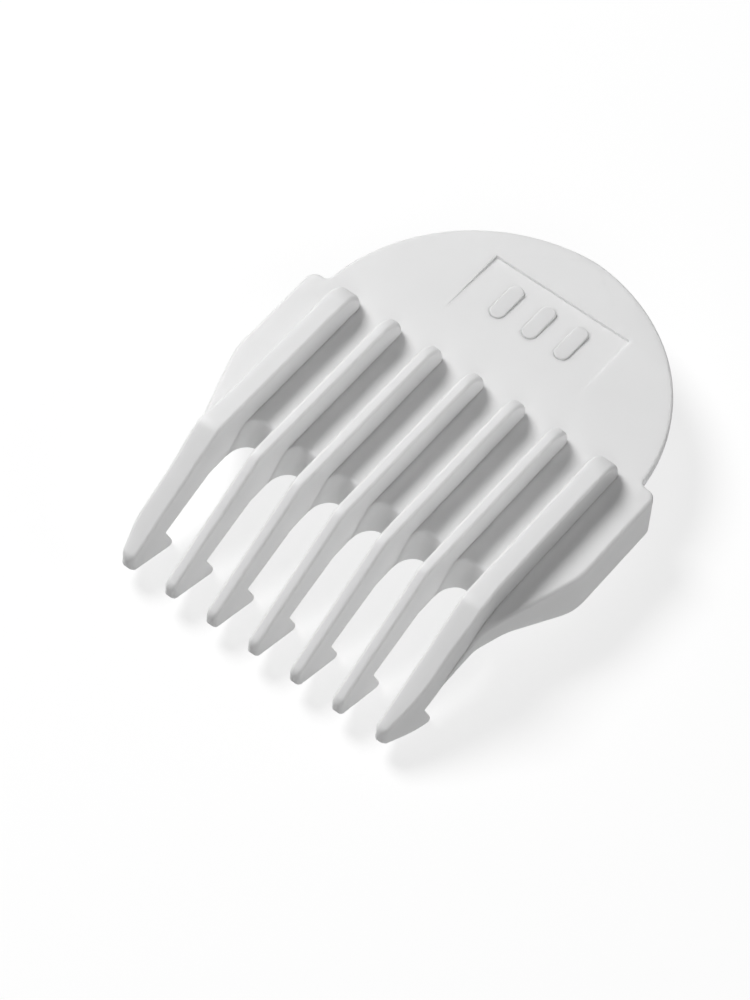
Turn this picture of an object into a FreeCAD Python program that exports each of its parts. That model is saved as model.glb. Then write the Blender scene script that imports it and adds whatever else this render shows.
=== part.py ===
import FreeCAD, Part
import math
import os

# Clipper guard comb: one moulding, divided at its own features into separate closed solids.
# Millimetres. X runs across the teeth, -Y points to the tooth tips, +Z is the skin side.
# The origin is the middle of the blade seat, on the underside of the base plate.

# Driving dimensions
toothCount = 7
pitch = 5.0  # tooth to tooth
plateThick = 1.2
ribHeight = 3.2  # above the plate's top
innerWidth = 1.2  # ribs and teeth 2 to 6
outerExtra = 1.05  # added to the outward side of teeth 1 and 7
edgeRound = 0.3  # long edges of ribs and teeth
shoulderY = 8.6  # line where the thumb tab begins
seamY = -8.0  # line where ribs become teeth and the webs begin
ribRearY = 8.2
ribRearRound = 3.0
tabSideRadius = 20.0  # the tab's sides; each is centred beyond the middle and ahead of the shoulder
tabSideShift = 1.0
tabSideAhead = 1.4
tabRearRadius = 10.0  # short arc across its rear
tabEdgeRound = 0.3
sideX = 20.85  # outer face of the side walls
wallThick = 1.3
wallRearRound = 1.1  # corner beside the thumb tab
wallBendY = -3.5  # the side walls run straight behind this line
wallFrontX = 17.15  # corner where they turn forward again, beside the end teeth
wallFrontY = -14.9
wallBendRound = 8.0
skirtDepth = 4.3  # side walls below the plate's underside
rootDepth = 1.3  # webs and tooth roots below the plate's underside
gapFootY = -12.7  # each gap ends in an elliptical arch: its feet on the underside
gapFootLength = 2.4
gapTopY = -10.0  # and the same on the plate's top, so that its wall leans back
gapTopLength = 1.4
webHorn = 0.06  # least width of a web beside a tooth
halfCircleGap = 0.001  # kept between the two arcs of a pill's round end
spare = 1.0  # cutters reach this far past what they cut
tipTaperStart = -22.6  # the end teeth narrow outwards in front of this line
tipTaperRate = 0.24
recessHalf = 8.1
recessFrontY = 13.1
recessRearY = 21.5
recessDepth = 0.35
markCount = 3
markPitch = 3.9
markWidth = 1.7
markLength = 4.6
markMiddleY = 17.6
markTop = 0.05  # the marks stand this far above the tab

# Side view of a tooth: each corner is (y, z, radius)
ribTop = plateThick + ribHeight
underZ = -rootDepth
bendCorner = (-13.9, ribTop, 1.8)
tipTop = (-26.8, -3.22, 0.7)
tipSplit = (-26.8, -4.1, 0)  # the hook is the part below this point
tipBottom = (-26.8, -5.0, 0.55)
hookToe = (-20.2, -7.4, 0.35)
notchCorner = (-21.75, -4.0, 0)
rootCorner = (-15.2, underZ - 0.05, 1.6)

# Side view of a side wall, which ends as a thin ridge along the end tooth
skirtRear = (shoulderY, -skirtDepth, 0.6)
skirtFront = (-4.6, -skirtDepth, 6.0)
skirtLift = (-11.6, underZ - 0.1, 5.0)
skirtUnderRoot = (-15.2, underZ - 0.15, 1.5)
wallTopEnd = (-14.0, plateThick, 3.0)
ridgeEndY = -20.15
ridgeWidth = 0.15
ridgeHeight = 0.25
ridgeDrop = 0.1  # the ridge's lower edge below the tooth's

# Places worked out from them
plateTop = plateThick
halfInner = innerWidth / 2
toothX = [(i - (toothCount - 1) / 2) * pitch for i in range(toothCount)]
outerFaceX = toothX[-1] + halfInner + outerExtra
innerFaceX = sideX - wallThick
wallSlope = (sideX - wallFrontX) / (wallBendY - wallFrontY)
wallAcross = wallThick * math.hypot(1, wallSlope)  # along X, where the wall is slanted
innerBendY = wallBendY + (wallAcross - wallThick) / wallSlope

os.makedirs("parts", exist_ok=True)


def vector(plane, u, v, w):
    # A point from its two outline coordinates and its height over the outline's plane
    return FreeCAD.Vector(w, u, v) if plane == "YZ" else FreeCAD.Vector(u, v, w)


def outlineFace(plane, corners, w=0.0):
    # A flat face from corners (u, v, radius), with a tangent arc at each corner that has a radius
    points = [FreeCAD.Vector(c[0], c[1], 0) for c in corners]
    starts, ends, middles = [], [], []
    for i, here in enumerate(points):
        radius = corners[i][2]
        back = points[i - 1] - here
        ahead = points[(i + 1) % len(points)] - here
        turn = back.getAngle(ahead)
        if radius <= 0 or abs(turn - math.pi) < 1e-6:
            starts.append(here)
            ends.append(here)
            middles.append(None)
            continue
        back.normalize()
        ahead.normalize()
        reach = radius / math.tan(turn / 2)
        bisector = (back + ahead).normalize()
        toCentre = radius / math.sin(turn / 2)
        starts.append(here + back * reach)
        ends.append(here + ahead * reach)
        middles.append(here + bisector * (toCentre - radius))
    edges = []
    for i in range(len(points)):
        a, m, b = starts[i], middles[i], ends[i]
        if m is not None:
            arcPoints = [vector(plane, p.x, p.y, w) for p in (a, m, b)]
            edges.append(Part.Arc(*arcPoints).toShape())
        after = starts[(i + 1) % len(points)]
        if (after - b).Length > 1e-6:
            line = Part.LineSegment(vector(plane, b.x, b.y, w), vector(plane, after.x, after.y, w))
            edges.append(line.toShape())
    return Part.Face(Part.Wire(edges))


def bar(corners, lowX, highX):
    # A side-view outline given a width along X
    return outlineFace("YZ", corners, lowX).extrude(FreeCAD.Vector(highX - lowX, 0, 0))


def slab(corners, lowZ, highZ):
    # A top-view outline given a thickness along Z
    return outlineFace("XY", corners, lowZ).extrude(FreeCAD.Vector(0, 0, highZ - lowZ))


def roundEdges(solid, radius, wanted):
    # Fillets every edge for which wanted(edge) is true
    edges = [e for e in solid.Edges if wanted(e)]
    return solid.makeFillet(radius, edges)


def liesOnX(edge, x):
    return abs(edge.BoundBox.XMin - x) < 1e-6 and abs(edge.BoundBox.XMax - x) < 1e-6


def liesOnZ(edge, z):
    return abs(edge.BoundBox.ZMin - z) < 1e-6 and abs(edge.BoundBox.ZMax - z) < 1e-6


def liesOnY(edge, y):
    return abs(edge.BoundBox.YMin - y) < 1e-6 and abs(edge.BoundBox.YMax - y) < 1e-6


def mirrored(solid):
    return solid.mirror(FreeCAD.Vector(0, 0, 0), FreeCAD.Vector(1, 0, 0))


def write(name, shape):
    solids = shape.Solids
    sound = bool(solids) and all(s.isValid() and s.Volume > 0 for s in solids)
    print(name, "solids", len(solids), "volume", round(shape.Volume, 2), "valid", sound)
    shape.exportStep("parts/" + name + ".step")


def faces(index):
    # Left and right faces of tooth number index + 1
    low = toothX[index] - halfInner - (outerExtra if index == 0 else 0)
    high = toothX[index] + halfInner + (outerExtra if index == toothCount - 1 else 0)
    return low, high


def lineAt(first, second, y):
    # Height at y of the straight line through two (y, z) corners
    return first[1] + (second[1] - first[1]) * (y - first[0]) / (second[0] - first[0])


def rib(index):
    # Flat-topped bar on the plate, rounded down at its rear end
    low, high = faces(index)
    corners = [
        (seamY, plateTop, 0),
        (ribRearY, plateTop, 0),
        (ribRearY, ribTop, ribRearRound),
        (seamY, ribTop, 0),
    ]
    solid = bar(corners, low, high)
    sides = lambda e: liesOnX(e, low) or liesOnX(e, high)
    above = lambda e: e.BoundBox.ZMax > plateTop + edgeRound and not liesOnY(e, seamY)
    return roundEdges(solid, edgeRound, lambda e: sides(e) and above(e))


def toothArm(index):
    # From the seam over the bend to the tip, down to the line of the blade's edge
    low, high = faces(index)
    corners = [
        (seamY, underZ, 0),
        (seamY, ribTop, 0),
        bendCorner,
        tipTop,
        tipSplit,
        notchCorner,
        rootCorner,
    ]
    solid = bar(corners, low, high)
    sides = lambda e: liesOnX(e, low) or liesOnX(e, high)
    upper = lambda e: e.BoundBox.ZMax > lineAt(rootCorner, notchCorner, e.BoundBox.YMin) + rootDepth
    solid = roundEdges(solid, edgeRound, lambda e: sides(e) and upper(e) and not liesOnY(e, seamY))
    return tapered(solid, index)


def hook(index):
    # Barb under the tip: its toe points back and holds the blade's edge
    low, high = faces(index)
    return tapered(bar([notchCorner, tipSplit, tipBottom, hookToe], low, high), index)


def tapered(solid, index):
    # The outward side of an end tooth runs in towards its tip
    if index not in (0, toothCount - 1):
        return solid
    endY = tipTop[0] - spare
    wedge = [
        (outerFaceX, tipTaperStart, 0),
        (outerFaceX + spare, tipTaperStart, 0),
        (outerFaceX + spare, endY, 0),
        (outerFaceX - (tipTaperStart - endY) * tipTaperRate, endY, 0),
    ]
    cutter = slab(wedge, hookToe[1] - spare, ribTop + spare)
    return solid.cut(cutter if index else mirrored(cutter))


def innerWallX(y):
    # Inner face of a side wall along its slanted stretch
    return innerFaceX - (innerBendY - y) * wallSlope


def basePlate():
    # Flat plate between the side walls, under the ribs
    right = [
        (innerFaceX, shoulderY, 0),
        (innerFaceX, innerBendY, wallBendRound),
        (innerWallX(seamY), seamY, 0),
    ]
    left = [(-x, y, r) for x, y, r in reversed(right)]
    return slab(right + left, 0, plateTop)


def sideWall():
    # Right-hand wall: wing edge, skirt and the ridge that runs out along the end tooth
    plan = [
        (sideX, shoulderY, wallRearRound),
        (sideX, wallBendY, wallBendRound),
        (wallFrontX, wallFrontY, wallBendRound),
        (outerFaceX + ridgeWidth, ridgeEndY, 0),
        (outerFaceX, ridgeEndY, 0),
        (outerFaceX, seamY, 0),
        (innerWallX(seamY), seamY, 0),
        (innerFaceX, innerBendY, wallBendRound),
        (innerFaceX, shoulderY, 0),
    ]
    ridgeEndZ = lineAt(rootCorner, notchCorner, ridgeEndY) - ridgeDrop
    side = [
        (shoulderY, plateTop, 0),
        skirtRear,
        skirtFront,
        skirtLift,
        skirtUnderRoot,
        (ridgeEndY, ridgeEndZ, 0),
        (ridgeEndY, ridgeEndZ + ridgeHeight, 0),
        wallTopEnd,
    ]
    return slab(plan, -skirtDepth - spare, plateTop).common(bar(side, outerFaceX, sideX))


def arch(middle, halfGap, footY, length, z):
    # Ellipse across a gap: its rear half is the gap's rounded end
    centre = FreeCAD.Vector(middle, footY, z)
    along = FreeCAD.Vector(middle, footY + length, z)
    across = FreeCAD.Vector(middle + halfGap, footY, z)
    longFirst = (along, across) if length > halfGap else (across, along)
    return Part.Wire(Part.Ellipse(*longFirst, centre).toShape())


def webs():
    # Between each pair of teeth: a short lip whose leaning front wall is the gap's arched end
    solids = []
    for index in range(toothCount - 1):
        low = faces(index)[1]
        high = faces(index + 1)[0]
        middle = (low + high) / 2
        halfGap = (high - low) / 2 - webHorn
        side = [
            (seamY, plateTop, 0),
            (seamY, underZ, 0),
            (gapFootY, underZ, 0),
            (gapTopY, plateTop, 0),
        ]
        foot = arch(middle, halfGap, gapFootY, gapFootLength, underZ)
        top = arch(middle, halfGap, gapTopY, gapTopLength, plateTop)
        solids.append(bar(side, low, high).cut(Part.makeLoft([foot, top], True, True)))
    return Part.makeCompound(solids)


def tabOutline():
    # Three tangent arcs and the line along the shoulder
    sideY = shoulderY - tabSideAhead
    rearY = sideY + math.sqrt((tabSideRadius - tabRearRadius) ** 2 - tabSideShift ** 2)
    cornerX = math.sqrt(tabSideRadius ** 2 - tabSideAhead ** 2) - tabSideShift
    meetAngle = math.atan2(rearY - sideY, tabSideShift)
    shoulderAngle = math.asin(tabSideAhead / tabSideRadius)

    def onSide(angle, side):
        x = tabSideRadius * math.cos(angle) - tabSideShift
        return FreeCAD.Vector(side * x, sideY + tabSideRadius * math.sin(angle), 0)

    def sideArc(side):
        angles = (shoulderAngle, (shoulderAngle + meetAngle) / 2, meetAngle)
        return Part.Arc(*[onSide(angle, side) for angle in angles])

    rear = FreeCAD.Vector(0, rearY + tabRearRadius, 0)
    rearArc = Part.Arc(onSide(meetAngle, 1), rear, onSide(meetAngle, -1))
    corners = [FreeCAD.Vector(side * cornerX, shoulderY, 0) for side in (-1, 1)]
    curves = [sideArc(1), rearArc, sideArc(-1), Part.LineSegment(*corners)]
    return Part.Wire(Part.__sortEdges__([curve.toShape() for curve in curves]))


def thumbTab():
    # Rounded tab with a shallow recess whose floor runs out towards the teeth
    solid = Part.Face(tabOutline()).extrude(FreeCAD.Vector(0, 0, plateTop))
    rim = lambda e: (liesOnZ(e, 0) or liesOnZ(e, plateTop)) and not liesOnY(e, shoulderY)
    solid = roundEdges(solid, tabEdgeRound, rim)
    wedge = [
        (recessFrontY, plateTop, 0),
        (recessRearY, plateTop - recessDepth, 0),
        (recessRearY, plateTop + spare, 0),
        (recessFrontY, plateTop + spare, 0),
    ]
    return solid.cut(bar(wedge, -recessHalf, recessHalf))


def lengthMark():
    # Raised pills on the recess floor, one for each step of cutting length
    solids = []
    for i in range(markCount):
        x = (i - (markCount - 1) / 2) * markPitch
        half = markWidth / 2
        endRound = half - halfCircleGap
        pill = [
            (x - half, markMiddleY - markLength / 2, endRound),
            (x + half, markMiddleY - markLength / 2, endRound),
            (x + half, markMiddleY + markLength / 2, endRound),
            (x - half, markMiddleY + markLength / 2, endRound),
        ]
        column = slab(pill, 0, plateTop + markTop)
        floor = [
            (recessFrontY, plateTop, 0),
            (recessRearY, plateTop - recessDepth, 0),
            (recessRearY, -spare, 0),
            (recessFrontY, -spare, 0),
        ]
        solids.append(column.cut(bar(floor, -recessHalf, recessHalf)))
    return Part.makeCompound(solids)


for i in range(toothCount):
    write("rib_%d" % (i + 1), rib(i))
    write("tooth_%d" % (i + 1), toothArm(i))
    write("hook_%d" % (i + 1), hook(i))
write("base_plate", basePlate())
rightWall = sideWall()
write("side_wall_right", rightWall)
write("side_wall_left", mirrored(rightWall))
write("tooth_webs", webs())
write("thumb_tab", thumbTab())
write("length_mark", lengthMark())
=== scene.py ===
import bpy
import bmesh
import math
from mathutils import Matrix, Vector


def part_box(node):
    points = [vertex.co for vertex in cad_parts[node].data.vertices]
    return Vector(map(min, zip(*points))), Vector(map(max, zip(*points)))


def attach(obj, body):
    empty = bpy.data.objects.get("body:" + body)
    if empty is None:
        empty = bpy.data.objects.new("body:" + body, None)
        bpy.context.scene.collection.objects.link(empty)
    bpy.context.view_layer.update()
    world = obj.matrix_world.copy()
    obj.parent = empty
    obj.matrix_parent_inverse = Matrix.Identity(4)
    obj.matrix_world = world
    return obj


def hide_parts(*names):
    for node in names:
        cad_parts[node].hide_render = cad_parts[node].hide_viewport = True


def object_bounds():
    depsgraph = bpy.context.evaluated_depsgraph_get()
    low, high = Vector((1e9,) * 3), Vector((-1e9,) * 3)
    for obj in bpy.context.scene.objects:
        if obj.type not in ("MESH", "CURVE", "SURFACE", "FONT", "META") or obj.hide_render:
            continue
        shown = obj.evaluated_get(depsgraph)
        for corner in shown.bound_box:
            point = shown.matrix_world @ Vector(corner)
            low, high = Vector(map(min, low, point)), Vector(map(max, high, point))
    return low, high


mm = 0.001  # every size below is in millimetres, and is multiplied by this where it meets a mesh

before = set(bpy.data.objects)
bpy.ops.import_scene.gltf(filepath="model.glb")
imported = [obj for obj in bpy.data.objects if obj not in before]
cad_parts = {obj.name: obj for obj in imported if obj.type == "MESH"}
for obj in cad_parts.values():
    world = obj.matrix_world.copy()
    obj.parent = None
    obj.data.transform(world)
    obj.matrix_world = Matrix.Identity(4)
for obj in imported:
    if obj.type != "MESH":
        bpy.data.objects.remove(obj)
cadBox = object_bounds()
print("frame loaded")


def nodeBox(node):
    low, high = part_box(node)
    return low / mm, high / mm


ribLow, ribHigh = nodeBox("rib_4")
endLow, endHigh = nodeBox("tooth_7")
wallLow, wallHigh = nodeBox("side_wall_right")

toothCount = sum(1 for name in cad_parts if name.startswith("tooth_") and name[-1].isdigit())
pitch = nodeBox("rib_5")[0].x - ribLow.x
plateTop = nodeBox("base_plate")[1].z
ribTop = ribHigh.z
tipY = nodeBox("tooth_4")[0].y
seamY = ribLow.y  # where the ribs become teeth
shoulderY = nodeBox("thumb_tab")[0].y  # where the thumb tab begins
sideX = wallHigh.x
skirtZ = wallLow.z
rootZ = nodeBox("tooth_webs")[0].z
markTop = nodeBox("length_mark")[1].z


def roundCorners(corners, steps=8, closed=True):
    # corners are (u, v, radius); each radius becomes a tangent arc
    count = len(corners)
    points = []
    for i, (u, v, radius) in enumerate(corners):
        here = Vector((u, v))
        if radius <= 0 or (not closed and i in (0, count - 1)):
            points.append(here)
            continue
        back = (Vector(corners[i - 1][:2]) - here).normalized()
        ahead = (Vector(corners[(i + 1) % count][:2]) - here).normalized()
        half = back.angle(ahead) / 2
        centre = here + (back + ahead).normalized() * (radius / math.sin(half))
        first = here + back * (radius / math.tan(half)) - centre
        turn = first.angle_signed(here + ahead * (radius / math.tan(half)) - centre)
        for k in range(steps + 1):
            spun = first.copy()
            spun.rotate(Matrix.Rotation(-turn * k / steps, 2))
            points.append(centre + spun)
    return points


def heightAt(points, y):
    # reads a (y, z) polyline that runs steadily one way in y
    for a, b in zip(points, points[1:]):
        if min(a.x, b.x) - 1e-9 <= y <= max(a.x, b.x) + 1e-9 and abs(a.x - b.x) > 1e-12:
            return a.y + (b.y - a.y) * (y - a.x) / (b.x - a.x)
    return points[-1].y if abs(points[-1].x - y) < abs(points[0].x - y) else points[0].y


def insetOutline(points, insets):
    # moves each point of a closed outline towards the material by its own inset
    area = sum(a.x * b.y - b.x * a.y for a, b in zip(points, points[1:] + points[:1]))
    side = 1 if area > 0 else -1
    moved = []
    for i, here in enumerate(points):
        back = (here - points[i - 1]).normalized()
        ahead = (points[(i + 1) % len(points)] - here).normalized()
        n1 = Vector((-back.y, back.x)) * side
        n2 = Vector((-ahead.y, ahead.x)) * side
        moved.append(here + (n1 + n2) / (1 + n1.dot(n2)) * insets[i])
    return moved


def addStrip(bm, columns):
    # quads between neighbouring columns of points; equal points are merged later
    rows = [[bm.verts.new(Vector(p) * mm) for p in column] for column in columns]
    for left, right in zip(rows, rows[1:]):
        for k in range(len(left) - 1):
            bm.faces.new((left[k], right[k], right[k + 1], left[k + 1]))


def fillFlat(bm, axis, value):
    # closes the open edges that lie in one plane
    def inPlane(vert):
        return abs(vert.co[axis] - value * mm) < 1e-7
    edges = [e for e in bm.edges if len(e.link_faces) == 1 and all(inPlane(v) for v in e.verts)]
    normal = Vector((0, 0, 0))
    normal[axis] = 1
    bmesh.ops.triangle_fill(bm, edges=edges, use_beauty=True, use_dissolve=False, normal=normal)


def weld(bm):
    bmesh.ops.remove_doubles(bm, verts=bm.verts, dist=1e-7)
    bmesh.ops.dissolve_degenerate(bm, edges=bm.edges, dist=1e-8)
    doomed = [v for v in bm.verts if not v.link_faces]
    bmesh.ops.delete(bm, geom=doomed, context="VERTS")


def finishMesh(bm, name, creaseAngle=34):
    # outward faces, smooth shading with creases kept, and no open edge
    bmesh.ops.recalc_face_normals(bm, faces=bm.faces)
    if bm.calc_volume(signed=True) < 0:
        bmesh.ops.reverse_faces(bm, faces=bm.faces)
    for face in bm.faces:
        face.smooth = True
    for edge in bm.edges:
        edge.smooth = edge.calc_face_angle(0) < math.radians(creaseAngle)
    openEdges = sum(1 for e in bm.edges if not e.is_manifold)
    mesh = bpy.data.meshes.new(name)
    bm.to_mesh(mesh)
    bm.free()
    piece = bpy.data.objects.new(name, mesh)
    bpy.context.collection.objects.link(piece)
    print(name, "faces", len(mesh.polygons), "open edges", openEdges)
    return piece


def settleNormals(piece):
    # large flat faces keep their own normal, so the small rounds beside them shade cleanly
    weighting = piece.modifiers.new("weighting", "WEIGHTED_NORMAL")
    weighting.keep_sharp = True
    weighting.weight = 80
    asPlainMesh(piece)


def asPlainMesh(piece):
    # bakes the modifiers into the piece's own mesh
    bpy.context.view_layer.update()
    evaluated = piece.evaluated_get(bpy.context.evaluated_depsgraph_get())
    plain = bpy.data.meshes.new_from_object(evaluated)
    piece.modifiers.clear()
    piece.data = plain
    plain.name = piece.name


plasticSizes = {
    "colour": (0.86, 0.86, 0.86),
    "tintSpread": 0.008,  # how far the colour drifts over the moulding
    "roughness": 0.50,
    "roughnessSpread": 0.05,
    "grain": 0.10,  # size of the mould's fine texture
    "grainDepth": 0.0035,
    "flowLength": 9.0,  # long soft waves left by the flow of the plastic
    "flowDepth": 0.010,
    "lightDepth": 0.8,  # how far light wanders inside the plastic
}


def node(tree, kind, **settings):
    made = tree.nodes.new(kind)
    for key, value in settings.items():
        if key in made.inputs:
            made.inputs[key].default_value = value
        else:
            setattr(made, key, value)
    return made


def mouldedPlastic(name, sizes):
    material = bpy.data.materials.new(name)
    material.use_nodes = True
    tree = material.node_tree
    link = tree.links.new
    shader = tree.nodes["Principled BSDF"]
    shader.inputs["IOR"].default_value = 1.49
    shader.inputs["Specular IOR Level"].default_value = 0.5
    shader.inputs["Subsurface Weight"].default_value = 1.0
    shader.inputs["Subsurface Radius"].default_value = (1, 1, 1)
    shader.inputs["Subsurface Scale"].default_value = sizes["lightDepth"] * mm
    place = node(tree, "ShaderNodeTexCoord").outputs["Object"]
    drift = node(tree, "ShaderNodeTexNoise", Scale=1 / (sizes["flowLength"] * mm), Detail=3.0)
    link(place, drift.inputs["Vector"])
    tint = node(tree, "ShaderNodeValToRGB")
    low = [c - sizes["tintSpread"] for c in sizes["colour"]]
    high = [c + sizes["tintSpread"] for c in sizes["colour"]]
    tint.color_ramp.elements[0].position = 0.3
    tint.color_ramp.elements[0].color = (*low, 1)
    tint.color_ramp.elements[1].position = 0.7
    tint.color_ramp.elements[1].color = (*high, 1)
    link(drift.outputs["Fac"], tint.inputs["Fac"])
    link(tint.outputs["Color"], shader.inputs["Base Color"])
    grain = node(tree, "ShaderNodeTexNoise", Scale=1 / (sizes["grain"] * mm), Detail=2.0)
    link(place, grain.inputs["Vector"])
    gloss = node(tree, "ShaderNodeMapRange")
    gloss.inputs["To Min"].default_value = sizes["roughness"] - sizes["roughnessSpread"]
    gloss.inputs["To Max"].default_value = sizes["roughness"] + sizes["roughnessSpread"]
    link(grain.outputs["Fac"], gloss.inputs["Value"])
    link(gloss.outputs["Result"], shader.inputs["Roughness"])
    waves = node(tree, "ShaderNodeBump", Strength=1.0, Distance=sizes["flowDepth"] * mm)
    link(drift.outputs["Fac"], waves.inputs["Height"])
    fine = node(tree, "ShaderNodeBump", Strength=1.0, Distance=sizes["grainDepth"] * mm)
    link(grain.outputs["Fac"], fine.inputs["Height"])
    link(waves.outputs["Normal"], fine.inputs["Normal"])
    link(fine.outputs["Normal"], shader.inputs["Normal"])
    return material


bodyPlastic = mouldedPlastic("bodyPlastic", plasticSizes)
print("materials made")


bodySizes = {
    "tabSideRadius": 20.0,  # the thumb tab's sides
    "tabSideShift": 1.0,  # each is centred this far beyond the middle
    "tabSideAhead": 1.4,  # and this far ahead of the shoulder
    "tabRearRadius": 10.0,
    "tabRound": 0.3,  # its rim
    "notchRound": 0.6,  # where the tab meets the shoulder
    "notchEase": 0.5,  # stretch over which the rim's lower round runs out
    "wallThick": 1.3,
    "wallRearRound": 1.1,  # corner of the side wall beside the tab, in plan
    "wallTopRound": 0.45,
    "wallFootRound": 0.2,
    "wallBendY": -3.5,
    "wallFrontX": 17.15,
    "wallFrontY": -14.9,
    "wallBendRound": 8.0,
    "ledgeY": -14.0,  # the wing's top bends down along the end tooth
    "ledgeRound": 3.0,
    "skirtRearRound": 0.6,
    "skirtFrontY": -4.6,  # the skirt's lower edge rises from here
    "skirtFrontRound": 6.0,
    "skirtLiftY": -11.6,  # to here, just below the teeth
    "skirtLiftDrop": 0.1,
    "skirtLiftRound": 5.0,
    "skirtBendY": -15.2,  # and then follows the end tooth down
    "skirtBendDrop": 0.15,
    "skirtBendRound": 1.5,
    "ridgeEndX": -0.15,  # the ridge runs out inside the end tooth's face
    "ridgeEndZ": -3.45,
    "ridgeHeight": 0.25,
    "insideTooth": 0.35,  # how far the ridge reaches into the end tooth
    "gapTopY": -10.0,  # arched end of each gap, on the plate's top
    "gapTopLength": 1.4,
    "gapFootY": -12.7,  # and on the underside
    "gapFootLength": 2.4,
    "gapEdgeRound": 0.35,
    "gapFootRound": 0.08,
    "gapSteps": 28,
    "gapHidden": 0.3,  # how far an arch runs into the teeth beside it
    "padRise": 0.02,  # the underside of the webs stands this far above the teeth's own
    "recessHalf": 8.1,
    "recessFrontY": 13.1,
    "recessRearY": 21.5,
    "recessDepth": 0.35,
    "recessRound": 0.06,
}
small = 1e-6
faceX = endHigh.x  # outer face of the end teeth
stemX = faceX - bodySizes["insideTooth"]
innerX = sideX - bodySizes["wallThick"]
cornerY = shoulderY - bodySizes["wallRearRound"]
lipY = bodySizes["gapTopY"] + bodySizes["gapEdgeRound"]
footY = bodySizes["gapFootY"] + bodySizes["gapFootRound"]
padZ = rootZ + bodySizes["padRise"]
ridgeEndY = wallLow.y


def quarter(steps=6):
    return [math.pi / 2 * k / steps for k in range(steps + 1)]


def addBoth(bm, columns):
    # the same strip on the right and on the left
    addStrip(bm, columns)
    addStrip(bm, [[(-x, y, z) for x, y, z in column] for column in columns])


def wallStations(s):
    # sections along the right-hand wall, from beside the tab to the ridge's front end
    plan = roundCorners([
        (sideX, cornerY, 0),
        (sideX, s["wallBendY"], s["wallBendRound"]),
        (s["wallFrontX"], s["wallFrontY"], s["wallBendRound"]),
        (faceX + s["ridgeEndX"], ridgeEndY, 0),
    ], steps=20, closed=False)
    plan = [Vector((p.y, p.x)) for p in plan]  # as (y, x), to be read at any y
    skirt = roundCorners([
        (shoulderY, 0, 0),
        (shoulderY, skirtZ, s["skirtRearRound"]),
        (s["skirtFrontY"], skirtZ, s["skirtFrontRound"]),
        (s["skirtLiftY"], rootZ - s["skirtLiftDrop"], s["skirtLiftRound"]),
        (s["skirtBendY"], rootZ - s["skirtBendDrop"], s["skirtBendRound"]),
        (ridgeEndY, s["ridgeEndZ"], 0),
    ], steps=16, closed=False)[1:]
    ledge = roundCorners([
        (shoulderY, plateTop, 0),
        (s["ledgeY"], plateTop, s["ledgeRound"]),
        (ridgeEndY, s["ridgeEndZ"] + s["ridgeHeight"], 0),
    ], steps=16, closed=False)

    def station(outer, inward, inner):
        top = heightAt(ledge, outer.y)
        foot = heightAt(skirt, outer.y)
        topRound = s["wallTopRound"]
        if outer.y > cornerY:
            # grows from the tab's rim to the wall's own round
            grown = min(1, max(0, (outer.x - innerX) / (sideX - innerX)))
            topRound = s["tabRound"] + (topRound - s["tabRound"]) * grown ** 1.5
        if outer.y < seamY:
            # leaves room for the ridge's flat top and side as it narrows
            topRound = min(topRound, 0.6 * (outer.x - stemX), 0.5 * (top - foot))
        footRound = min(s["wallFootRound"], 0.4 * (outer - inner).length, 0.4 * (top - foot))
        return {
            "outer": outer, "inward": inward, "inner": inner,
            "top": top, "foot": foot, "topRound": topRound, "footRound": footRound,
        }

    stations = [station(Vector((innerX, shoulderY)), Vector((0, -1)), Vector((innerX, shoulderY)))]
    for a in reversed(quarter(10)):
        out = Vector((math.cos(a), math.sin(a)))
        centre = Vector((sideX - s["wallRearRound"], cornerY))
        inner = Vector((innerX, cornerY + s["wallRearRound"] * math.sin(a)))
        stations.append(station(centre + out * s["wallRearRound"], -out, inner))
    # wide steps along the straight stretch and close ones over the bends
    fixedYs = [seamY, lipY, footY, ridgeEndY]
    ys = [cornerY - 1 - k for k in range(8)] + [-1.5 - 0.35 * k for k in range(54)]
    ys = [y for y in ys if y > ridgeEndY + 0.1 and min(abs(y - f) for f in fixedYs) > 0.1]
    halfStep = 0.05  # for reading the slope
    for y in sorted(ys + fixedYs, reverse=True):
        x = heightAt(plan, y)
        front = max(y - halfStep, ridgeEndY)
        slope = (heightAt(plan, y + halfStep) - heightAt(plan, front)) / (y + halfStep - front)
        reach = math.hypot(1, slope)
        innerAt = x - s["wallThick"] * reach
        if y < seamY:
            seamX = heightAt(plan, seamY) - s["wallThick"] * reach
            innerAt = seamX + (stemX - seamX) * (seamY - y) / (seamY - footY)
        stations.append(station(Vector((x, y)), Vector((-reach, 0)), Vector((innerAt, y))))
    return stations


def outerColumn(w):
    # over the wing's edge and down the skirt's outer face
    point, r = w["outer"], w["topRound"]
    column = []
    for a in quarter():
        p = point + w["inward"] * (r * (1 - math.sin(a)))
        column.append((p.x, p.y, w["top"] - r * (1 - math.cos(a))))
    low = w["foot"] + w["footRound"]
    for z in (0.0, padZ, low):
        column.append((point.x, point.y, max(min(z, w["top"] - r), low)))
    return column


def footColumn(w):
    # round from the outer face to the skirt's lower edge
    lift = w["footRound"]
    across = w["inner"] - w["outer"]
    across = across.normalized() if across.length > 1e-9 else Vector((-1, 0))
    column = []
    for a in quarter(4):
        p = w["outer"] + across * (lift * (1 - math.cos(a)))
        column.append((p.x, p.y, w["foot"] + lift * (1 - math.sin(a))))
    return column


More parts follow.
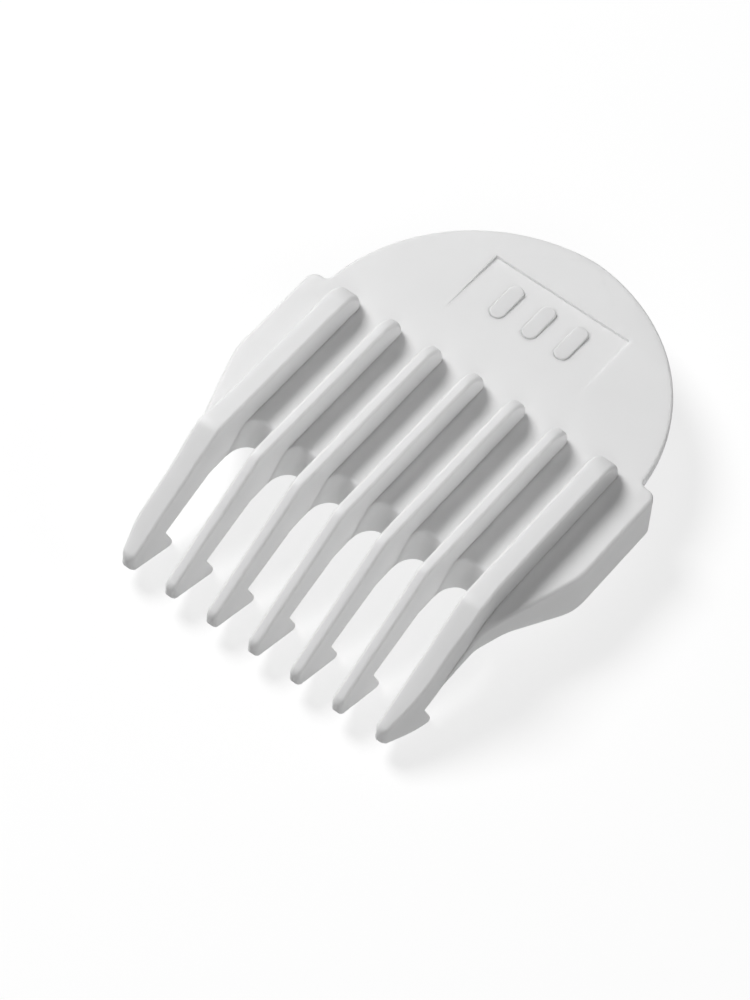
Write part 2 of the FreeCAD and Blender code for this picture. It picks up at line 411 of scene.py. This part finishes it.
def underColumn(w, ceiling):
    # under the skirt and up its inner face
    inner, lift = w["inner"], w["footRound"]
    if inner.y < seamY:
        lift = min(lift, 0.9 * (padZ - w["foot"])) * (inner.y - footY) / (seamY - footY)
    across = inner - w["outer"]
    across = across.normalized() if across.length > 1e-9 else Vector((-1, 0))
    column = footColumn(w)
    for a in reversed(quarter(4)):
        p = inner - across * (lift * (1 - math.cos(a)))
        column.append((p.x, p.y, w["foot"] + lift * (1 - math.sin(a))))
    column.append((inner.x, inner.y, max(padZ, w["foot"] + lift)))
    column.append((inner.x, inner.y, ceiling))
    return column


def addWalls(bm, wall):
    ahead = [w for w in wall if w["outer"].y < footY + small]
    addBoth(bm, [outerColumn(w) for w in wall])
    addBoth(bm, [underColumn(w, 0.0) for w in wall if w["outer"].y > seamY - small])
    addBoth(bm, [underColumn(w, padZ) for w in wall if seamY + small > w["outer"].y > footY - small])
    addBoth(bm, [footColumn(w) + [(stemX, w["outer"].y, w["foot"])] for w in ahead])
    addBoth(bm, [
        [(stemX, w["outer"].y, w["top"]), outerColumn(w)[0]]
        for w in wall if w["outer"].y < lipY + small
    ])
    tail = wall[-1]
    ring = [(stemX, ridgeEndY, tail["top"])] + outerColumn(tail)
    ring += footColumn(tail)[1:] + [(stemX, ridgeEndY, tail["foot"])]
    for side in (1, -1):
        bm.faces.new([bm.verts.new(Vector((side * x, y, z)) * mm) for x, y, z in ring])


def arcPoints(centre, radius, start, end, steps):
    # points with their outward directions; the radius is negative where the rim is hollow
    for k in range(steps + 1):
        a = start + (end - start) * k / steps
        out = Vector((math.cos(a), math.sin(a)))
        yield centre + out * radius, out


def addTabRim(bm, s):
    # rear arc, side arc, and the notch that joins them to the shoulder
    r = s["notchRound"]
    bigRadius = s["tabSideRadius"]
    sideCentre = Vector((-s["tabSideShift"], shoulderY - s["tabSideAhead"]))
    rearOffset = math.sqrt((bigRadius - s["tabRearRadius"]) ** 2 - s["tabSideShift"] ** 2)
    meetAngle = math.atan2(rearOffset, s["tabSideShift"])
    notchAngle = math.asin((shoulderY + r - sideCentre.y) / (bigRadius + r))
    rearCentre = Vector((0, sideCentre.y + rearOffset))
    notchCentre = sideCentre + Vector((math.cos(notchAngle), math.sin(notchAngle))) * (bigRadius + r)
    rim = list(arcPoints(rearCentre, s["tabRearRadius"], math.pi / 2, meetAngle, 8))
    rim += list(arcPoints(sideCentre, bigRadius, meetAngle, notchAngle, 88))[1:]
    rim += list(arcPoints(notchCentre, -r, notchAngle, math.pi / 2, 8))[1:]
    rim.append((Vector((innerX, shoulderY)), Vector((0, 1))))
    t = s["tabRound"]
    columns = []
    for point, out in rim:
        under = t * min(1, (innerX - point.x) / s["notchEase"])
        column = []
        for a in quarter():
            p = point - out * (t * (1 - math.sin(a)))
            column.append((p.x, p.y, plateTop - t * (1 - math.cos(a))))
        for a in quarter(5):
            p = point - out * (under * (1 - math.cos(a)))
            column.append((p.x, p.y, under * (1 - math.sin(a))))
        columns.append(column)
    addBoth(bm, columns)


def softCorner(corner, before, after, size, steps=5):
    # a short curve that leaves one direction and takes up the other
    points = []
    for k in range(steps + 1):
        t = k / steps
        points.append(corner + before * size * (1 - t) ** 2 + after * size * t ** 2)
    return points


def addGapArches(bm, s):
    # each gap's rounded end: its wall leans back from the underside to the plate's top
    arch = []
    half = (pitch - (ribHigh.x - ribLow.x)) / 2
    rearward = Vector((1, 0))
    for gap in range(toothCount - 1):
        middle = (gap - (toothCount - 2) / 2) * pitch
        first = -stemX if gap == 0 else middle - half - s["gapHidden"]
        last = stemX if gap == toothCount - 2 else middle + half + s["gapHidden"]
        places = [(first, 0.0)]
        for k in range(s["gapSteps"] + 1):
            a = math.pi * k / s["gapSteps"]
            places.append((middle - half * math.cos(a), math.sin(a)))
        places.append((last, 0.0))
        for x, bulge in places:
            foot = Vector((s["gapFootY"] + s["gapFootLength"] * bulge, padZ))
            edge = Vector((s["gapTopY"] + s["gapTopLength"] * bulge, plateTop))
            down = (foot - edge).normalized()
            wallLine = softCorner(edge, rearward, down, s["gapEdgeRound"])
            wallLine += softCorner(foot, -down, rearward, s["gapFootRound"])
            arch.append([(x, p.x, p.y) for p in wallLine])
    addStrip(bm, arch)


def addRecess(bm, s):
    # shallow, with a floor that runs out towards the teeth
    frontY, rearY = s["recessFrontY"], s["recessRearY"]

    def column(x, y, outX, outY):
        deep = s["recessDepth"] * (y - frontY) / (rearY - frontY)
        bend = min(s["recessRound"], deep / 2)
        return [
            (x + outX * bend, y + outY * bend, plateTop),
            (x + outX * bend * 0.3, y + outY * bend * 0.3, plateTop - bend * 0.3),
            (x, y, plateTop - bend),
            (x - outX * bend * 0.4, y - outY * bend * 0.4, plateTop - deep),
        ]

    half = s["recessHalf"]
    recess = [
        column(-half, frontY, -1, 0),
        column(-half, rearY, -1, 1),
        column(half, rearY, 1, 1),
        column(half, frontY, 1, 0),
    ]
    addStrip(bm, recess)
    bm.faces.new([bm.verts.new(Vector(corner[-1]) * mm) for corner in recess])


def bodyOf(s):
    bm = bmesh.new()
    wall = wallStations(s)
    addWalls(bm, wall)
    addTabRim(bm, s)
    addGapArches(bm, s)
    # step between the blade pocket's ceiling and the pad under the tooth roots
    seamInner = next(w["inner"].x for w in wall if abs(w["outer"].y - seamY) < small)
    addStrip(bm, [
        [(-seamInner, seamY, 0.0), (-seamInner, seamY, padZ)],
        [(seamInner, seamY, 0.0), (seamInner, seamY, padZ)],
    ])
    addRecess(bm, s)
    weld(bm)
    for axis, value in ((2, plateTop), (2, 0.0), (2, padZ), (0, stemX), (0, -stemX)):
        fillFlat(bm, axis, value)
    return finishMesh(bm, "combBody")


combBody = bodyOf(bodySizes)
settleNormals(combBody)
print("body made")


toothSizes = {
    "ribRearRound": 3.1,
    "bendY": -13.9,
    "bendRound": 2.4,
    "tipTopZ": -3.22,
    "tipTopRound": 1.1,
    "tipBottomZ": -5.0,
    "tipBottomRound": 0.8,
    "toeY": -20.2,
    "toeZ": -7.4,
    "toeRound": 0.42,
    "notchY": -21.75,
    "notchZ": -4.0,
    "notchRound": 0.2,
    "rootY": -15.2,
    "rootRound": 1.6,
    "sunk": 0.5,  # how deep the rib's foot is set into the plate
    "rootLift": -0.05,
}
# how far the long edges are rounded, by place
innerEdges = {"rear": 0.50, "top": 0.31, "tip": 0.52, "low": 0.16, "toe": 0.32, "notch": 0.12}
endEdges = {"rear": 0.65, "top": 0.33, "tip": 0.75, "low": 0.16, "toe": 0.36, "notch": 0.12}


def toothOutline(s, edges):
    # runs over the top to the tip, back along the hook and up to the root
    # each corner is y, z, its radius, and the edge's round before and after it
    sunkZ = plateTop - s["sunk"]
    corners = [
        (ribHigh.y, sunkZ, 0, "rear", "rear"),
        (ribHigh.y, ribTop, s["ribRearRound"], "rear", "top"),
        (s["bendY"], ribTop, s["bendRound"], "top", "top"),
        (tipY, s["tipTopZ"], s["tipTopRound"], "top", "tip"),
        (tipY, s["tipBottomZ"], s["tipBottomRound"], "tip", "low"),
        (s["toeY"], s["toeZ"], s["toeRound"], "low", "toe"),
        (s["notchY"], s["notchZ"], s["notchRound"], "notch", "notch"),
        (s["rootY"], rootZ + s["rootLift"], s["rootRound"], "low", "low"),
        (seamY, rootZ, 0, "low", "low"),
        (seamY, sunkZ, 0, "notch", "notch"),
    ]
    steps = 10
    points = roundCorners([corner[:3] for corner in corners], steps)
    rounds = []
    for y, z, radius, before, after in corners:
        for k in range(steps + 1 if radius > 0 else 1):
            rounds.append(edges[before] + (edges[after] - edges[before]) * k / steps)
    return points, rounds


def toothBetween(leftX, rightX, s, edges):
    bm = bmesh.new()
    points, rounds = toothOutline(s, edges)
    columns = [[] for point in points]
    for a in quarter(5):
        inset = insetOutline(points, [r * (1 - math.sin(a)) for r in rounds])
        for i, p in enumerate(inset):
            columns[i].append((leftX + rounds[i] * (1 - math.cos(a)), p.x, p.y))
    for a in reversed(quarter(5)):
        inset = insetOutline(points, [r * (1 - math.sin(a)) for r in rounds])
        for i, p in enumerate(inset):
            columns[i].append((rightX - rounds[i] * (1 - math.cos(a)), p.x, p.y))
    addStrip(bm, columns + columns[:1])
    for end in (0, -1):
        bm.faces.new([bm.verts.new(Vector(column[end]) * mm) for column in columns])
    weld(bm)
    return bm


def repeatAlongX(source, count, spacing, material, name):
    # a row of copies, made by nodes and then kept as a plain mesh
    tree = bpy.data.node_groups.new(name + "Row", "GeometryNodeTree")
    tree.interface.new_socket("Geometry", in_out="OUTPUT", socket_type="NodeSocketGeometry")
    inputs = {}
    for label, kind, value in (
        ("Pattern", "NodeSocketObject", source),
        ("Count", "NodeSocketInt", count),
        ("Spacing", "NodeSocketFloat", spacing * mm),
        ("Plastic", "NodeSocketMaterial", material),
    ):
        socket = tree.interface.new_socket(label, in_out="INPUT", socket_type=kind)
        inputs[socket.identifier] = value
    entry = tree.nodes.new("NodeGroupInput").outputs
    row = tree.nodes.new("GeometryNodeMeshLine")
    step = tree.nodes.new("ShaderNodeCombineXYZ")
    span = node(tree, "ShaderNodeMath", operation="MULTIPLY")
    gaps = node(tree, "ShaderNodeMath", operation="SUBTRACT")
    gaps.inputs[1].default_value = 1
    centring = node(tree, "ShaderNodeMath", operation="MULTIPLY")
    centring.inputs[1].default_value = -0.5
    start = tree.nodes.new("ShaderNodeCombineXYZ")
    pattern = tree.nodes.new("GeometryNodeObjectInfo")
    copies = tree.nodes.new("GeometryNodeInstanceOnPoints")
    solid = tree.nodes.new("GeometryNodeRealizeInstances")
    paint = tree.nodes.new("GeometryNodeSetMaterial")
    leave = tree.nodes.new("NodeGroupOutput")
    link = tree.links.new
    link(entry["Count"], row.inputs["Count"])
    link(entry["Count"], gaps.inputs[0])
    link(gaps.outputs[0], span.inputs[0])
    link(entry["Spacing"], span.inputs[1])
    link(span.outputs[0], centring.inputs[0])
    link(centring.outputs[0], start.inputs["X"])
    link(entry["Spacing"], step.inputs["X"])
    link(start.outputs[0], row.inputs["Start Location"])
    link(step.outputs[0], row.inputs["Offset"])
    link(entry["Pattern"], pattern.inputs["Object"])
    link(row.outputs["Mesh"], copies.inputs["Points"])
    link(pattern.outputs["Geometry"], copies.inputs["Instance"])
    link(copies.outputs["Instances"], solid.inputs["Geometry"])
    link(solid.outputs["Geometry"], paint.inputs["Geometry"])
    link(entry["Plastic"], paint.inputs["Material"])
    link(paint.outputs["Geometry"], leave.inputs["Geometry"])
    piece = bpy.data.objects.new(name, bpy.data.meshes.new(name))
    bpy.context.collection.objects.link(piece)
    modifier = piece.modifiers.new("row", "NODES")
    modifier.node_group = tree
    for identifier, value in inputs.items():
        modifier[identifier] = value
    asPlainMesh(piece)
    bpy.data.objects.remove(source)
    return piece


pattern = finishMesh(toothBetween(ribLow.x, ribHigh.x, toothSizes, innerEdges), "toothPattern")
innerTeeth = repeatAlongX(pattern, toothCount - 2, pitch, bodyPlastic, "innerTeeth")
settleNormals(innerTeeth)
print("inner teeth made")


endToothSizes = {
    "taperY": {1: -22.4, -1: -23.4},  # right and left: the outward side runs in ahead of this line
    "taperRound": {1: 2.0, -1: 0.9},
    "taperRate": 0.24,
    "swellY": -14.6,  # soft swelling where the wall's ridge leaves the tooth
    "swellLength": 4.2,
    "swell": 0.22,
    "heldWidth": 0.35,  # stretch at each face that moves as one
    "cutSpacing": 0.4,  # cross cuts, so that the sides bend evenly
}


def endTooth(s, name, side):
    # side is 1 for the right-hand tooth and -1 for the left-hand one
    leftX, rightX = endLow.x, endHigh.x
    bm = toothBetween(leftX, rightX, toothSizes, endEdges)
    y = ribHigh.y - s["cutSpacing"]
    while y > tipY:
        cut = bm.verts[:] + bm.edges[:] + bm.faces[:]
        bmesh.ops.bisect_plane(bm, geom=cut, plane_co=(0, y * mm, 0), plane_no=(0, 1, 0), dist=1e-8)
        y -= s["cutSpacing"]
    soft = s["taperRound"][side]
    held = s["heldWidth"]
    for vert in bm.verts:
        x, y = vert.co.x / mm, vert.co.y / mm
        ahead = s["taperY"][side] - y
        turned = min(1, max(0, (ahead + soft) / (2 * soft)))
        shift = -s["taperRate"] * (soft * turned ** 2 + max(0, ahead - soft))
        far = abs(y - s["swellY"]) / s["swellLength"]
        if far < 1:
            shift += s["swell"] * (1 - far ** 2) ** 2
        across = (x - leftX - held) / (rightX - leftX - 2 * held)
        vert.co.x = side * (x + shift * min(1, max(0, across))) * mm
    piece = finishMesh(bm, name)
    settleNormals(piece)
    return piece


endToothRight = endTooth(endToothSizes, "endToothRight", 1)
endToothLeft = endTooth(endToothSizes, "endToothLeft", -1)
print("end teeth made")


markSizes = {
    "width": 1.7,
    "length": 4.6,
    "middleY": 17.6,
    "spacing": 3.9,
    "count": 3,
    "edgeRound": 0.16,
    "sunk": 0.6,
}


def markPattern(s):
    bm = bmesh.new()
    r = s["width"] / 2
    plan = []
    for sign in (1, -1):
        for k in range(17):
            a = math.pi * k / 16
            middle = Vector((0, s["middleY"] + sign * (s["length"] / 2 - r)))
            plan.append(middle + sign * Vector((math.cos(a), math.sin(a))) * r)
    columns = [[(p.x, p.y, markTop - s["sunk"])] for p in plan]
    for a in quarter(5):
        inset = insetOutline(plan, [s["edgeRound"] * (1 - math.cos(a))] * len(plan))
        for i, p in enumerate(inset):
            columns[i].append((p.x, p.y, markTop - s["edgeRound"] * (1 - math.sin(a))))
    addStrip(bm, columns + columns[:1])
    for end in (0, -1):
        bm.faces.new([bm.verts.new(Vector(column[end]) * mm) for column in columns])
    weld(bm)
    return finishMesh(bm, "markPattern")


mark = markPattern(markSizes)
lengthMarks = repeatAlongX(mark, markSizes["count"], markSizes["spacing"], bodyPlastic, "lengthMarks")
settleNormals(lengthMarks)
print("marks made")


replaced = {
    combBody: ["base_plate", "thumb_tab", "side_wall_right", "side_wall_left", "tooth_webs"],
    innerTeeth: [part + str(i) for i in range(2, toothCount) for part in ("rib_", "tooth_", "hook_")],
    endToothLeft: ["rib_1", "tooth_1", "hook_1"],
    endToothRight: [part + str(toothCount) for part in ("rib_", "tooth_", "hook_")],
    lengthMarks: ["length_mark"],
}
for piece, nodes in replaced.items():
    piece.data.materials.clear()
    piece.data.materials.append(bodyPlastic)
    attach(piece, "root")
    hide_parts(*nodes)
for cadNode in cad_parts.values():
    for place in cadNode.material_slots:
        place.material = bodyPlastic


stageSizes = {
    "floorHalf": 900,
    "floorGap": 0.05,
    "floorColour": 0.30,
    "floorGlow": 0.74,
    "roomLight": 0.0,
}
# direction, distance, width of the disc, and power
# the bounce stands in for the floor's own light on the comb, so that it is set apart from its looks
lampSizes = {
    "key": ((-0.58, 0.035, 0.775), 600, 270, 3.20),
    "fill": ((0.45, -0.60, 0.66), 600, 340, 0.63),
    "side": ((0.75, 0.30, 0.30), 600, 300, 0.60),
    "bounce": ((0, 0, -1), 150, 1200, 1.75),
}


def floorOf(s):
    bm = bmesh.new()
    h = s["floorHalf"]
    z = cadBox[0].z / mm - s["floorGap"]
    addStrip(bm, [[(-h, -h, z), (-h, h, z)], [(h, -h, z), (h, h, z)]])
    piece = finishMesh(bm, "floor")
    if piece.data.polygons[0].normal.z < 0:
        piece.data.flip_normals()
    material = bpy.data.materials.new("paleFloor")
    material.use_nodes = True
    tree = material.node_tree
    shader = tree.nodes["Principled BSDF"]
    grey = s["floorColour"]
    shader.inputs["Base Color"].default_value = (grey, grey, grey, 1)
    shader.inputs["Roughness"].default_value = 0.9
    shader.inputs["Specular IOR Level"].default_value = 0.0
    shader.inputs["Emission Color"].default_value = (1, 1, 1, 1)
    shader.inputs["Emission Strength"].default_value = s["floorGlow"]
    piece.data.materials.append(material)
    piece.visible_diffuse = False
    piece.visible_shadow = False


def discLamp(name, towards, far, width, power):
    data = bpy.data.lights.new(name, "AREA")
    data.shape = "DISK"
    data.size = width * mm
    data.energy = power
    lamp = bpy.data.objects.new(name, data)
    direction = Vector(towards).normalized()
    lamp.location = direction * far * mm
    lamp.rotation_mode = "QUATERNION"
    lamp.rotation_quaternion = direction.to_track_quat("Z", "Y")
    bpy.context.collection.objects.link(lamp)


floorOf(stageSizes)
for name, sizes in lampSizes.items():
    discLamp(name, *sizes)
world = bpy.data.worlds.new("room")
world.use_nodes = True
world.node_tree.nodes["Background"].inputs["Color"].default_value = (1, 1, 1, 1)
world.node_tree.nodes["Background"].inputs["Strength"].default_value = stageSizes["roomLight"]
bpy.context.scene.world = world
bpy.context.scene.view_settings.view_transform = "Standard"

cameraSizes = {
    "target": (0.54, -9.02, 1.2),
    "distance": 433.5,
    "azimuth": 33.72,
    "elevation": 55.70,
    "roll": -4.96,
    "lens": 165.6,
    "sensor": 36,
}


def cameraOf(s):
    data = bpy.data.cameras.new("camera")
    data.lens = s["lens"]
    data.sensor_width = s["sensor"]
    data.clip_start = 0.01
    data.clip_end = 10
    camera = bpy.data.objects.new("camera", data)
    a, e = math.radians(s["azimuth"]), math.radians(s["elevation"])
    back = Vector((math.sin(a) * math.cos(e), -math.cos(a) * math.cos(e), math.sin(e)))
    camera.location = (Vector(s["target"]) + back * s["distance"]) * mm
    camera.rotation_mode = "QUATERNION"
    level = (-back).to_track_quat("-Z", "Y")
    roll = Matrix.Rotation(math.radians(s["roll"]), 3, -back).to_quaternion()
    camera.rotation_quaternion = roll @ level
    bpy.context.collection.objects.link(camera)
    bpy.context.scene.camera = camera


cameraOf(cameraSizes)
print("stage set")
